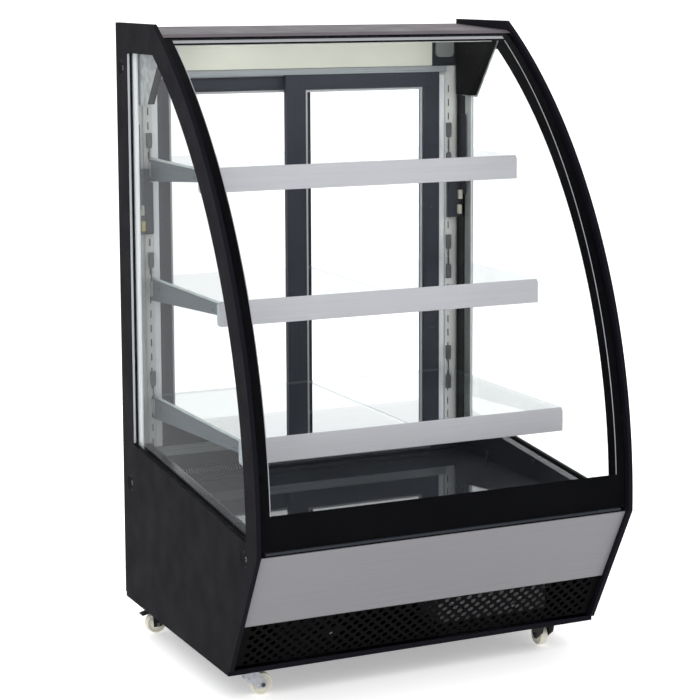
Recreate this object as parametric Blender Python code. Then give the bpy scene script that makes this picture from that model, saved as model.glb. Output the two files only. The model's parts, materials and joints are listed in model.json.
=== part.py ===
"""Curved-glass refrigerated bakery display case on four swivel casters.

World frame: +Z up, floor at Z = 0, front faces -Y, X = 0 is the middle. Lengths in metres.
Most sheets and mouldings run straight across the case, so they are drawn as side profiles in
(d, h): d is the distance forward from the back edge, h the height above the underside of the base.
"""

import math

import bmesh
import bpy
from mathutils import Matrix, Vector
from mathutils.geometry import tessellate_polygon

# ---- driving dimensions ----
WIDTH = 0.900
DEPTH = 0.833
BASE_Z = 0.072
PANEL_TOP = 1.368
GAP = 0.0003

HALF = WIDTH / 2
BACK_Y = DEPTH / 2
SKIN = 0.010
INNER = HALF - SKIN - GAP
LINED = 0.4262

# side profile: a long arc down to the knee, then a straight slope to the base
ARC_D = -0.425
ARC_H = 0.309
ARC_R = 1.258
KNEE = (0.833, 0.297)
TOE = (0.667, 0.0)
BAND = 0.059
GLASS_SET = 0.010
GLASS_T = 0.006

WINDOW_BACK = 0.075
WINDOW_TOP = 1.300
SILL_LINE = (0.385, -0.099)
CUPS = ((0.034, 1.264), (0.048, 0.287), (0.763, 0.280))
CUP_R = 0.019

PAN_H = 0.0117
TUB_FLOOR = 0.200
DECK_TOP = 0.294
SILL_H = 0.345
DOOR_LOW = 0.3555
DOOR_HIGH = 1.2425
HEADER_LOW = 1.2545
CEILING = 1.3215

DOOR_W = 0.410
LANE_T = 0.016
REAR_LANE = 0.0165
FRONT_LANE = 0.0390
DOOR_PANE = (0.412, 1.2035)
# each door: side, left edge, back face, left stile, right stile
DOORS = (
    ("left", -0.383, REAR_LANE, 0.049, 0.050),
    ("right", -0.045, FRONT_LANE, 0.050, 0.045),
)

POST_X = 0.384
JAMB_X = 0.367
POST_D = 0.048
STANDARD_X = (0.3845, 0.4045)
STANDARD_D = POST_D + 0.0028
PANE_BACK = 0.0615

# shelves, top to bottom: height of the glass top and distance of the rail face from the back
SHELVES = ((1.058, 0.398), (0.778, 0.502), (0.497, 0.620))
RAIL_X = 0.394
RAIL_H = 0.055
PANE_T = 0.006
PANE_INNER = 0.0008
RAIL_CORNER = 0.009
ARM_X = 0.392
ARM_T = 0.0025

WHEEL_R = 0.0248
WHEEL_W = 0.020
AXLE_R = 0.004
TRAIL = 0.028
CASTERS = (
    ("front_left", -0.378, 0.602, 90.0, False),
    ("front_right", 0.364, 0.600, 180.0, True),
    ("rear_left", -0.378, 0.085, -90.0, True),
    ("rear_right", 0.378, 0.085, 160.0, False),
)

SWITCH_X = 0.270
ROCKER_PIN = (0.0150, 0.1700)
ROCKER_TIP = 6.0
PIN_R = 0.0015
ARC_STEPS = 28

# ---- materials: colour, roughness, metallic ----
FINISHES = {
    "black_panel": ((0.022, 0.021, 0.028), 0.32, 0.0),
    "clear_glass": ((0.86, 0.93, 0.91), 0.04, 0.0),
    "brushed_steel": ((0.42, 0.42, 0.44), 0.36, 1.0),
    "cap_metal": ((0.40, 0.37, 0.40), 0.35, 0.8),
    "aluminium": ((0.66, 0.68, 0.70), 0.32, 0.9),
    "cream_liner": ((0.66, 0.66, 0.60), 0.50, 0.0),
    "slate_frame": ((0.055, 0.062, 0.080), 0.38, 0.0),
    "deck_gloss": ((0.030, 0.034, 0.042), 0.10, 0.6),
    "black_plastic": ((0.015, 0.015, 0.017), 0.45, 0.0),
    "shelf_rail": ((0.58, 0.57, 0.64), 0.34, 0.2),
    "arm_steel": ((0.17, 0.20, 0.23), 0.40, 0.5),
    "zinc": ((0.45, 0.48, 0.53), 0.32, 1.0),
    "wheel_nylon": ((0.62, 0.60, 0.50), 0.45, 0.0),
    "foam_tub": ((0.045, 0.048, 0.056), 0.50, 0.0),
    "compressor_black": ((0.02, 0.02, 0.02), 0.40, 0.3),
    "coil_fins": ((0.55, 0.56, 0.57), 0.35, 1.0),
}

for old in list(bpy.data.objects):
    bpy.data.objects.remove(old, do_unlink=True)


def finish(name):
    """The named material, made the first time it is asked for."""
    if name in bpy.data.materials:
        return bpy.data.materials[name]
    colour, roughness, metallic = FINISHES[name]
    material = bpy.data.materials.new(name)
    material.use_nodes = True
    shader = material.node_tree.nodes["Principled BSDF"]
    shader.inputs["Base Color"].default_value = (*colour, 1.0)
    shader.inputs["Roughness"].default_value = roughness
    shader.inputs["Metallic"].default_value = metallic
    return material


def add(name, points, faces, material=None):
    """A mesh object from points and faces, with every face turned outwards."""
    shape = bmesh.new()
    corners = [shape.verts.new(tuple(p)) for p in points]
    for face in faces:
        shape.faces.new([corners[i] for i in face])
    bmesh.ops.recalc_face_normals(shape, faces=shape.faces)
    mesh = bpy.data.meshes.new(name)
    shape.to_mesh(mesh)
    shape.free()
    obj = bpy.data.objects.new(name, mesh)
    bpy.context.scene.collection.objects.link(obj)
    if material:
        mesh.materials.append(finish(material))
    return obj


def prism(name, loops, place, low, high, material=None):
    """The outline loops[0], less the holes that follow, stretched from low to high.
    place(u, v, w) puts a point of the outline at stretch w into the world."""
    flat = [point for ring in loops for point in ring]
    count = len(flat)
    cap = tessellate_polygon([[Vector((u, v, 0)) for u, v in ring] for ring in loops])
    points = [place(u, v, low) for u, v in flat] + [place(u, v, high) for u, v in flat]
    faces = list(cap) + [(a + count, b + count, c + count) for a, b, c in cap]
    start = 0
    for ring in loops:
        size = len(ring)
        for i in range(size):
            a = start + i
            b = start + (i + 1) % size
            faces.append((a, b, b + count, a + count))
        start += size
    return add(name, points, faces, material)


def from_side(d, h, x):
    """Side profile (d, h) at width x."""
    return (x, BACK_Y - d, BASE_Z + h)


def from_front(x, h, d):
    """Front outline (x, h) at depth d."""
    return (x, BACK_Y - d, BASE_Z + h)


def from_top(x, d, h):
    """Plan outline (x, d) at height h."""
    return (x, BACK_Y - d, BASE_Z + h)


def rect(u0, u1, v0, v1):
    return [(u0, v0), (u1, v0), (u1, v1), (u0, v1)]


def block(name, x, d, h, material=None):
    """A box between the two values of each of x, d and h."""
    return prism(name, [rect(*d, *h)], from_side, *x, material)


def barrel(name, profile, at, turn, steps, material=None):
    """The closed profile of (radius, height) pairs revolved about a local Z axis. A radius of 0
    is a point on the axis. turn is the rotation that carries local Z to the wanted axis."""
    points = []
    rows = []
    for radius, height in profile:
        if radius == 0:
            rows.append([len(points)] * steps)
            points.append(Vector((0, 0, height)))
            continue
        row = []
        for i in range(steps):
            angle = 2 * math.pi * i / steps
            row.append(len(points))
            points.append(Vector((radius * math.cos(angle), radius * math.sin(angle), height)))
        rows.append(row)
    faces = []
    closed = profile[0][0] != 0
    for k in range(len(rows) if closed else len(rows) - 1):
        low = rows[k]
        top = rows[(k + 1) % len(rows)]
        for i in range(steps):
            j = (i + 1) % steps
            face = [low[i], low[j], top[j], top[i]]
            faces.append(tuple(dict.fromkeys(face)))
    points = [turn @ p + Vector(at) for p in points]
    return add(name, points, faces, material)


def combine(name, parts, cutters=(), material=None):
    """One body: the parts joined, then the cutters taken away."""
    body = parts[0]
    steps = [(part, "UNION") for part in parts[1:]]
    steps += [(cutter, "DIFFERENCE") for cutter in cutters]
    for tool, operation in steps:
        modifier = body.modifiers.new(operation, "BOOLEAN")
        modifier.operation = operation
        modifier.solver = "EXACT"
        modifier.object = tool
    bpy.context.view_layer.update()
    graph = bpy.context.evaluated_depsgraph_get()
    mesh = bpy.data.meshes.new_from_object(body.evaluated_get(graph))
    for helper in list(parts) + list(cutters):
        bpy.data.objects.remove(helper, do_unlink=True)
    mesh.name = name
    mesh.materials.clear()
    if material:
        mesh.materials.append(finish(material))
    obj = bpy.data.objects.new(name, mesh)
    bpy.context.scene.collection.objects.link(obj)
    return obj


def pivot(obj, at):
    """Moves the object's origin to a world point and leaves its shape where it is."""
    at = Vector(at)
    obj.data.transform(Matrix.Translation(-at))
    obj.location = at
    return obj


def smooth(obj, degrees=35):
    """Shades the round faces smooth and keeps the edges sharper than the angle."""
    obj.data.shade_smooth()
    obj.data.set_sharp_from_angle(angle=math.radians(degrees))
    return obj


def arc_run(radius, h_from, h_to, steps=ARC_STEPS):
    """Points down the front curve between two heights."""
    start = math.asin((h_from - ARC_H) / radius)
    end = math.asin((h_to - ARC_H) / radius)
    run = []
    for i in range(steps + 1):
        angle = start + (end - start) * i / steps
        run.append((ARC_D + radius * math.cos(angle), ARC_H + radius * math.sin(angle)))
    return run


SLOPE_LEN = math.dist(KNEE, TOE)
SLOPE = ((TOE[0] - KNEE[0]) / SLOPE_LEN, (TOE[1] - KNEE[1]) / SLOPE_LEN)
INWARD = (SLOPE[1], -SLOPE[0])


def on_slope(along, inset):
    """A point of the lower front, measured down from the knee and in from the slope."""
    d = KNEE[0] + SLOPE[0] * along + INWARD[0] * inset
    h = KNEE[1] + SLOPE[1] * along + INWARD[1] * inset
    return (d, h)


def diagonal(d):
    """Height of the window's sloping lower edge."""
    return SILL_LINE[0] + SILL_LINE[1] * (d - 0.079)


# ---- side panels, with their windows and three recessed fixing cups each ----
toe_d = TOE[0] + 0.012 * (KNEE[0] - TOE[0]) / KNEE[1]
panel_outline = [(0.0, 0.012), (0.0, PANEL_TOP)] + arc_run(ARC_R, PANEL_TOP, KNEE[1])
panel_outline.append((toe_d, 0.012))
window_front = arc_run(ARC_R - BAND, WINDOW_TOP, 0.317)
window = [(WINDOW_BACK, diagonal(WINDOW_BACK)), (WINDOW_BACK, WINDOW_TOP)] + window_front
glass_front = arc_run(1.232, 1.3185, 0.290)
pane_low = diagonal(0.045) - 0.034
side_pane = [(0.045, pane_low), (0.045, 1.3185)] + glass_front

for side, sign in (("left", -1), ("right", 1)):
    panel = prism("panel", [panel_outline, window], from_side, sign * (HALF - SKIN), sign * HALF)
    dishes = []
    for d, h in CUPS:
        across = Matrix.Rotation(math.radians(90 * sign), 3, "Y")
        dish = [(0, -0.0055), (0.011, -0.0055), (CUP_R, 0.0), (CUP_R, 0.002), (0, 0.002)]
        dishes.append(barrel("dish", dish, from_side(d, h, sign * HALF), across, 20))
    combine(f"side_panel_{side}", [panel], dishes, "black_panel")
    near = sign * (LINED + GAP)
    prism(f"side_glass_{side}", [side_pane], from_side, near, sign * INNER, "clear_glass")

# ---- curved front glass ----
outer_run = arc_run(ARC_R - GLASS_SET, 1.3365, 0.304)
inner_run = arc_run(ARC_R - GLASS_SET - GLASS_T, 1.3365, 0.304)
front_glass = prism(
    "front_glass", [outer_run + inner_run[::-1]], from_side, -INNER, INNER, "clear_glass"
)
smooth(front_glass)

# ---- roof: cap, liner and lamp ----
cap = [
    (0.0, 1.3245),
    (0.0, 1.3566),
    (0.262, 1.3460),
    (0.281, 1.3400),
    (0.281, 1.3390),
    (0.2625, 1.3390),
    (0.2625, 1.3245),
]
prism("top_cap", [cap], from_side, -INNER, INNER, "cap_metal")
liner = [
    (0.0, HEADER_LOW),
    (0.0, 1.3242),
    (0.2625, 1.3242),
    (0.2625, CEILING),
    (0.0560, CEILING),
    (0.0560, HEADER_LOW),
]
prism("canopy_liner", [liner], from_side, -LINED, LINED, "cream_liner")
lamp = [
    (0.2660, 1.3222),
    (0.2660, 1.3330),
    (0.2735, 1.3330),
    (0.2860, 1.3245),
    (0.2875, 1.3222),
]
prism("ceiling_lamp", [lamp], from_side, -0.424, 0.424, "black_plastic")

gusset = [(0.0625, 1.3212), (0.243, 1.3212), (0.137, 1.184), (0.0650, 1.184)]
for side, sign in (("left", -1), ("right", 1)):
    prism(f"gusset_{side}", [gusset], from_side, sign * 0.406, sign * 0.4258, "black_plastic")

# ---- back: tracks, posts, shelf standards ----
sill = [
    (0.0120, SILL_H),
    (0.0595, SILL_H),
    (0.0595, 0.3660),
    (0.0570, 0.3660),
    (0.0570, 0.3550),
    (0.0372, 0.3550),
    (0.0372, 0.3640),
    (0.0345, 0.3640),
    (0.0345, 0.3550),
    (0.0145, 0.3550),
    (0.0145, 0.3660),
    (0.0120, 0.3660),
]
prism("door_track_bottom", [sill], from_side, -POST_X + GAP, POST_X - GAP, "aluminium")
head = [
    (0.0120, 1.2542),
    (0.0120, 1.2320),
    (0.0145, 1.2320),
    (0.0145, 1.2460),
    (0.0345, 1.2460),
    (0.0345, 1.2360),
    (0.0372, 1.2360),
    (0.0372, 1.2460),
    (0.0570, 1.2460),
    (0.0570, 1.2400),
    (0.0595, 1.2400),
    (0.0595, 1.2542),
]
prism("door_track_top", [head], from_side, -POST_X + GAP, POST_X - GAP, "aluminium")

for side, sign in (("left", -1), ("right", 1)):
    # the rear lane runs past the jamb lip, so the post is stepped in plan
    post = prism(
        "post",
        [[(POST_X, 0.0), (LINED, 0.0), (LINED, POST_D), (POST_X, POST_D)]],
        lambda x, d, h, s=sign: from_top(s * x, d, h),
        SILL_H,
        1.2542,
    )
    lip = prism(
        "lip",
        [rect(JAMB_X, POST_X + 0.001, FRONT_LANE - 0.0045, FRONT_LANE + 0.0075)],
        lambda x, d, h, s=sign: from_top(s * x, d, h),
        0.3665,
        1.2315,
    )
    combine(f"rear_post_{side}", [post, lip], (), "aluminium")
    slots = []
    for k in range(17):
        h = 0.372 + 0.052 * k
        slots.append(rect(0.3910, 0.3944, h, h + 0.018))
    plate = [rect(*STANDARD_X, SILL_H + 0.003, 1.235)]
    prism(
        f"shelf_standard_{side}",
        plate + slots,
        lambda x, h, d, s=sign: from_front(s * x, h, d),
        POST_D + GAP,
        STANDARD_D,
        "aluminium",
    )

# ---- sliding glass doors ----
for side, x0, lane, stile_a, stile_b in DOORS:
    opening = rect(x0 + stile_a, x0 + DOOR_W - stile_b, *DOOR_PANE)
    outline = rect(x0, x0 + DOOR_W, DOOR_LOW, DOOR_HIGH)
    frame = prism("frame", [outline, opening], from_front, lane, lane + LANE_T)
    pull_x = x0 + 0.015 if side == "left" else x0 + DOOR_W - 0.030
    pull = block("pull", (pull_x, pull_x + 0.016), (lane - 0.001, lane + 0.009), (0.74, 0.86))
    combine(f"door_frame_{side}", [frame], [pull], "slate_frame")
    block(
        f"door_glass_{side}",
        (x0 + stile_a + GAP, x0 + DOOR_W - stile_b - GAP),
        (lane + 0.006, lane + 0.010),
        (DOOR_PANE[0] + GAP, DOOR_PANE[1] - GAP),
        "clear_glass",
    )

# ---- insulated tub under the deck, with ledges for the deck sheet ----
tub_profile = [
    (0.0, TUB_FLOOR),
    (0.0, SILL_H - GAP),
    (0.0595, SILL_H - GAP),
    (0.0595, 0.222),
    (0.7500, 0.222),
    (0.7920, 0.290),
    (0.7920, 0.350),
    (0.8155, 0.350),
    (0.8155, 0.3035),
    (0.8225, 0.3035),
    (0.8225, 0.2985),
    (0.8080, 0.2960),
    (0.7545, TUB_FLOOR),
]
tub = prism("tub", [tub_profile], from_side, -LINED, LINED)
walls = [tub]
wall_profile = [
    (0.002, TUB_FLOOR + 0.001),
    (0.002, 0.340),
    (0.058, 0.340),
    (0.0790, diagonal(0.0790)),
    (0.7925, diagonal(0.7925)),
    (0.8060, 0.2960),
    (0.7520, TUB_FLOOR + 0.001),
]
ledge_profile = [
    (0.058, TUB_FLOOR + 0.001),
    (0.058, 0.2897),
    (0.7922, 0.2897),
    (0.7520, TUB_FLOOR + 0.001),
]
for sign in (-1, 1):
    walls.append(prism("wall", [wall_profile], from_side, sign * 0.4062, sign * LINED))
    walls.append(prism("ledge", [ledge_profile], from_side, sign * 0.3960, sign * 0.4070))
combine("insulated_tub", walls, (), "foam_tub")
block("deck_panel", (-0.4058, 0.4058), (0.0790, 0.7915), (0.290, DECK_TOP), "deck_gloss")
grille_profile = [
    (0.0600, 0.3440),
    (0.0620, 0.3440),
    (0.0620, 0.3150),
    (0.0785, 0.2965),
    (0.0785, 0.2943),
    (0.0760, 0.2943),
    (0.0600, 0.3130),
]
prism("air_grille", [grille_profile], from_side, -0.4058, 0.4058, "deck_gloss")

# ---- lower front: steel fascia and perforated grille ----
fascia = [
    on_slope(0.010, 0.010),
    on_slope(0.206, 0.010),
    on_slope(0.206, 0.0130),
    on_slope(0.010, 0.0130),
]
prism("steel_panel", [fascia], from_side, -INNER, INNER, "brushed_steel")
grille_low = 0.325
grille = prism(
    "grille",
    [
        [
            on_slope(0.2065, 0.012),
            on_slope(grille_low, 0.012),
            on_slope(grille_low, 0.0145),
            on_slope(0.2065, 0.0145),
        ]
    ],
    from_side,
    -INNER,
    INNER,
)
vents = []
for row in range(3):
    for k in range(11):
        middle = -0.375 + 0.075 * k + (0.0125 if row % 2 else -0.0125)
        top = 0.232 + 0.026 * row
        corners = [
            on_slope(top, 0.005),
            on_slope(top + 0.010, 0.005),
            on_slope(top + 0.010, 0.022),
            on_slope(top, 0.022),
        ]
        vents.append(prism("vent", [corners], from_side, middle - 0.022, middle + 0.022))
combine("lower_grille", [grille], vents, "black_plastic")

# ---- base pan with caster pads, and the service panel at the back ----
pan_front = TOE[0] - 0.002
pan = block("pan", (-HALF + 0.001, HALF - 0.001), (0.001, pan_front), (0.0, PAN_H))
well = block("well", (-HALF + 0.003, HALF - 0.003), (0.003, pan_front - 0.002), (0.002, PAN_H + 0.01))
pads = []
for name, x, d, swing, braked in CASTERS:
    pads.append(block("pad", (x - 0.032, x + 0.032), (d - 0.026, d + 0.026), (-0.0030, 0.0010)))
combine("base_pan", [pan] + pads, [well], "black_panel")

service_openings = []
for k in range(9):
    x = -0.36 + 0.05 * k
    for low in (0.060, 0.080, 0.100):
        service_openings.append(rect(x, x + 0.036, low, low + 0.008))
switch_hole = rect(SWITCH_X - 0.011, SWITCH_X + 0.011, ROCKER_PIN[1] - 0.015, ROCKER_PIN[1] + 0.015)
prism(
    "service_panel",
    [rect(-INNER, INNER, 0.0125, TUB_FLOOR - GAP)] + service_openings + [switch_hole],
    from_front,
    0.0120,
    0.0140,
    "black_panel",
)
block("controller", (0.300, 0.376), (0.0060, 0.0117), (0.152, 0.188), "black_plastic")
# the rocker is drawn level about its pin, then tipped to its off position
rocker = [
    (-0.0040, -0.0135),
    (-0.0062, 0.0),
    (-0.0040, 0.0135),
    (0.0022, 0.0120),
    (0.0022, -0.0120),
]
tip = math.radians(-ROCKER_TIP)
pin_d, pin_h = ROCKER_PIN
tipped = []
for d, h in rocker:
    along = d * math.cos(tip) - h * math.sin(tip)
    up = d * math.sin(tip) + h * math.cos(tip)
    tipped.append((pin_d + along, pin_h + up))
switch = prism("light_switch", [tipped], from_side, SWITCH_X - 0.010, SWITCH_X + 0.010, "black_plastic")
pivot(switch, from_side(pin_d, pin_h, SWITCH_X))

# ---- shelves: rail, two arms and two glass panes each ----
for index, (top, front) in enumerate(SHELVES, start=1):
    rest = top - PANE_T - GAP
    outline = [(-RAIL_X, top - RAIL_H), (RAIL_X, top - RAIL_H)]
    for sign, start in ((1, 0), (-1, 90)):
        for k in range(5):
            angle = math.radians(start + 22.5 * k)
            x = sign * (RAIL_X - RAIL_CORNER) + RAIL_CORNER * math.cos(angle)
            outline.append((x, top - RAIL_CORNER + RAIL_CORNER * math.sin(angle)))
    face = prism("face", [outline], from_front, front - 0.003, front)
    tray_x = RAIL_X - 0.002
    tray = block("tray", (-tray_x, tray_x), (front - 0.021, front - 0.0025), (rest - 0.014, rest))
    combine(f"shelf_rail_{index}", [face, tray], (), "shelf_rail")
    for side, sign in (("left", -1), ("right", 1)):
        back = STANDARD_D + GAP
        nose = front - 0.021 - GAP
        arm = [(back, rest - 0.052), (back, rest), (nose, rest), (nose, rest - 0.026)]
        web = prism("web", [arm], from_side, sign * ARM_X, sign * (ARM_X - ARM_T))
        ledge = rect(back, nose, rest - ARM_T, rest)
        flange = prism("flange", [ledge], from_side, sign * ARM_X, sign * (ARM_X - 0.014))
        combine(f"shelf_arm_{index}_{side}", [web, flange], (), "arm_steel")
        block(
            f"shelf_glass_{index}_{side}",
            (sign * PANE_INNER, sign * (RAIL_X - 0.001)),
            (PANE_BACK, front - 0.0035),
            (top - PANE_T, top),
            "clear_glass",
        )

# ---- refrigeration: compressor, condenser with fan, evaporator with fan ----
UPRIGHT = Matrix.Identity(3)
FORWARD = Matrix.Rotation(math.radians(90), 3, "X")

shell = [
    (0, 0.010),
    (0.070, 0.010),
    (0.084, 0.022),
    (0.088, 0.060),
    (0.088, 0.110),
    (0.080, 0.145),
    (0.055, 0.168),
    (0, 0.176),
]
dome = barrel("dome", shell, from_side(0.215, 0.0, -0.235), UPRIGHT, 28)
feet = block("feet", (-0.335, -0.135), (0.145, 0.285), (0.0025, 0.0125))
terminal = block("terminal", (-0.165, -0.125), (0.190, 0.240), (0.060, 0.110))
compressor = combine("compressor", [dome, feet, terminal], (), "compressor_black")
smooth(compressor)

FAN_X = 0.255
FAN_H = 0.100
COIL_X = (FAN_X - 0.140, FAN_X + 0.140)
coil = block("coil", COIL_X, (0.500, 0.545), (0.0025, 0.195))
shroud = block("shroud", COIL_X, (0.440, 0.5005), (0.0025, 0.195))
bore = barrel(
    "bore",
    [(0, -0.010), (0.069, -0.010), (0.069, 0.0500), (0, 0.0500)],
    from_side(0.440, FAN_H, FAN_X),
    FORWARD,
    36,
)
motor = barrel(
    "motor",
    [(0, 0.0), (0.022, 0.0), (0.022, 0.030), (0, 0.030)],
    from_side(0.475, FAN_H, FAN_X),
    FORWARD,
    20,
)
condenser = combine("condenser", [shroud], [bore])
condenser = combine("condenser", [condenser, coil, motor], (), "coil_fins")


def fan(name, x, d, h, reach, hub, thick, blades, material):
    """A hub with twisted blades on an axis along Y."""
    centre = from_side(d, h, x)
    parts = [barrel("hub", [(0, 0.0), (hub, 0.0), (hub, thick), (0, thick)], centre, FORWARD, 20)]
    for k in range(blades):
        width = hub * 1.05
        blade = [
            Vector((r, w, t))
            for r in (hub * 0.8, reach)
            for w in (-width * r / reach, width * r / reach)
            for t in (-0.0008, 0.0008)
        ]
        twist = Matrix.Rotation(math.radians(24), 3, "X")
        spin = Matrix.Rotation(2 * math.pi * k / blades, 3, "Z")
        lift = Vector((0, 0, thick / 2))
        points = [FORWARD @ (spin @ (twist @ p + lift)) + Vector(centre) for p in blade]
        faces = [(0, 2, 3, 1), (4, 5, 7, 6), (0, 1, 5, 4), (2, 6, 7, 3), (0, 4, 6, 2), (1, 3, 7, 5)]
        parts.append(add("blade", points, faces))
    obj = combine(name, parts, (), material)
    return pivot(obj, centre)


fan("condenser_fan", FAN_X, 0.4485, FAN_H, 0.064, 0.018, 0.026, 5, "black_plastic")

coil_box = block("coil_box", (-0.300, 0.060), (0.1200, 0.2000), (0.2225, 0.2850))
end_plate = block("end_plate", (-0.306, -0.299), (0.1150, 0.2050), (0.2225, 0.2870))
carrier = block("carrier", (0.055, 0.245), (0.1180, 0.1215), (0.2225, 0.2870))
fan_motor = barrel(
    "fan_motor",
    [(0, 0.0), (0.011, 0.0), (0.011, 0.0185), (0, 0.0185)],
    from_side(0.1210, 0.2550, 0.180),
    FORWARD,
    16,
)
combine("evaporator", [coil_box, end_plate, carrier, fan_motor], (), "coil_fins")
fan("evaporator_fan", 0.180, 0.1400, 0.2550, 0.028, 0.009, 0.014, 5, "black_plastic")

# ---- casters: a swivelling fork, a wheel and, on two of them, a brake lever ----
for name, x, d, swing, braked in CASTERS:
    head = (x, BACK_Y - d, 0.0)
    turn = Matrix.Rotation(math.radians(swing), 3, "Z")

    def local(u, v, w, head=head, turn=turn):
        """u along the trail, v up, w across the fork."""
        return tuple(Vector(head) + turn @ Vector((w, -u, v)))

    top = BASE_Z - 0.0030 - GAP
    hinge = (TRAIL + 0.006, 0.0545)
    cheek = [(-0.016, top - 0.011), (0.016, top - 0.011)]
    if braked:
        cheek += [(hinge[0] - 0.002, hinge[1] + 0.0032), (hinge[0] + 0.004, hinge[1] + 0.001)]
        cheek += [(hinge[0] + 0.005, hinge[1] - 0.005)]
    cheek += [
        (TRAIL + 0.010, 0.0300),
        (TRAIL + 0.009, 0.0170),
        (TRAIL - 0.009, 0.0170),
        (-0.010, top - 0.030),
    ]
    fork_parts = [
        prism("crown", [rect(-0.0168, 0.0168, top - 0.0117, top - 0.0080)], local, -0.0146, 0.0146),
        barrel(
            "race",
            [(0, top - 0.009), (0.021, top - 0.009), (0.021, top - 0.003), (0.016, top), (0, top)],
            head,
            UPRIGHT,
            24,
        ),
        prism("cheek_a", [cheek], local, 0.0122, 0.0150),
        prism("cheek_b", [cheek], local, -0.0150, -0.0122),
    ]
    sideways = turn @ Matrix.Rotation(math.radians(90), 3, "Y")
    hub_at = Vector(local(TRAIL, WHEEL_R, 0.0))
    fork_parts.append(
        barrel(
            "axle",
            [(0, -0.0175), (AXLE_R, -0.0175), (AXLE_R, 0.0175), (0, 0.0175)],
            hub_at,
            sideways,
            16,
        )
    )
    if braked:
        pin = [(0, -0.0140), (PIN_R, -0.0140), (PIN_R, 0.0140), (0, 0.0140)]
        fork_parts.append(barrel("pin", pin, local(*hinge, 0.0), sideways, 12))
    fork = combine(f"caster_fork_{name}", fork_parts, (), "zinc")
    smooth(pivot(fork, (x, BACK_Y - d, top)))
    half = WHEEL_W / 2
    tread = [
        (AXLE_R + 0.0001, -half),
        (0.010, -half),
        (0.012, -half + 0.003),
        (0.019, -half + 0.003),
        (0.0205, -half + 0.0005),
        (WHEEL_R - 0.001, -half + 0.002),
        (WHEEL_R, -half + 0.006),
        (WHEEL_R, half - 0.006),
        (WHEEL_R - 0.001, half - 0.002),
        (0.0205, half - 0.0005),
        (0.019, half - 0.003),
        (0.012, half - 0.003),
        (0.010, half),
        (AXLE_R + 0.0001, half),
    ]
    wheel = barrel(f"caster_wheel_{name}", tread, hub_at, sideways, 32, "wheel_nylon")
    smooth(pivot(wheel, hub_at))
    if braked:
        lever = [
            (hinge[0] - 0.0070, hinge[1] + 0.0028),
            (hinge[0] - 0.0060, hinge[1] - 0.0030),
            (hinge[0] + 0.0040, hinge[1] - 0.0030),
            (hinge[0] + 0.0300, hinge[1] - 0.0080),
            (hinge[0] + 0.0310, hinge[1] - 0.0050),
            (hinge[0] + 0.0060, hinge[1] + 0.0028),
        ]
        eye = []
        for k in range(12):
            angle = math.tau * k / 12
            reach = PIN_R + 0.0001
            eye.append((hinge[0] + reach * math.cos(angle), hinge[1] + reach * math.sin(angle)))
        pedal = prism(f"brake_pedal_{name}", [lever, eye], local, -0.0110, 0.0110, "compressor_black")
        pivot(pedal, local(*hinge, 0.0))
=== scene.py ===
"""Looks of the curved-glass bakery display case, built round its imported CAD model.

Lengths are in metres in the row frame: +Z up, the front faces -Y. As in the CAD, most pieces run
straight across the case, so they are drawn as side profiles in (d, h): d is the distance forward
from the back edge and h the height above the underside of the base.
"""

import json
import math

import bmesh
import bpy
from mathutils import Matrix, Vector
from mathutils.geometry import tessellate_polygon


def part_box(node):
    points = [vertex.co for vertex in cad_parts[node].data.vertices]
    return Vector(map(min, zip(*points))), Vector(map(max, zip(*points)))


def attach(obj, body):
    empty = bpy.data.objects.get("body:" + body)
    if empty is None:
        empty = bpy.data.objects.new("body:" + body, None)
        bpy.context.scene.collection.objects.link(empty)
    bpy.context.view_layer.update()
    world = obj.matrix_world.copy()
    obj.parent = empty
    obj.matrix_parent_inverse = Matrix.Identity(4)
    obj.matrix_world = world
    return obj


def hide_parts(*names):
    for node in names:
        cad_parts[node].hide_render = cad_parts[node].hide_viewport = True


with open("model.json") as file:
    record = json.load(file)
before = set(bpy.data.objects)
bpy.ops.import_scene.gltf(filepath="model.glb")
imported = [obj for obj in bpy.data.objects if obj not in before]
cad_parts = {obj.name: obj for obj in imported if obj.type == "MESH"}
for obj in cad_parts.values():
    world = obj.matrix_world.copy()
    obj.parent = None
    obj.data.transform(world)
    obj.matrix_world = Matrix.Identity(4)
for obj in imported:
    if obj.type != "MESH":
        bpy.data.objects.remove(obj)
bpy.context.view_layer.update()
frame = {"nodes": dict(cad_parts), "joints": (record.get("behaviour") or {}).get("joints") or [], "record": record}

NODES = frame["nodes"]
BODY = {n: b for b, names in frame["record"]["behaviour"]["bodies"].items() for n in names}
JOINT = {joint["name"]: joint for joint in frame["joints"]}

# ---- driving dimensions, as in the CAD ----
PANEL_TOP = 1.368
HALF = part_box("side_panel_right")[1].x
BACK_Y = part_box("side_panel_right")[1].y
BASE_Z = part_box("side_panel_right")[1].z - PANEL_TOP
GAP = 0.0003
SKIN = 0.010
INNER = HALF - SKIN - GAP
LINED = 0.4262

ARC_D = -0.425
ARC_H = 0.309
ARC_R = 1.258
KNEE = (ARC_D + math.sqrt(ARC_R**2 - (0.297 - ARC_H) ** 2), 0.297)
TOE = (0.667, 0.0)
BAND = 0.059
ARC_STEPS = 96

WINDOW_BACK = 0.075
WINDOW_TOP = 1.300
CUPS = ((0.034, 1.264), (0.048, 0.287), (0.763, 0.280))
CUP_R = 0.019
CEILING = 1.3215
HEADER_LOW = 1.2545
DECK_TOP = 0.294
POST_D = 0.048
POST_X = 0.384
STANDARD_D = POST_D + 0.0028
PANE_BACK = 0.0615
SHELVES = ((1.058, 0.398), (0.778, 0.502), (0.497, 0.620))
RAIL_X = 0.394
RAIL_H = 0.055
ARM_X = 0.392
SIDES = (("left", -1), ("right", 1))


def at(d, h, x):
    """Side profile (d, h) at width x."""
    return Vector((x, BACK_Y - d, BASE_Z + h))


def front(x, h, d):
    """Front outline (x, h) at depth d."""
    return at(d, h, x)


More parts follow.
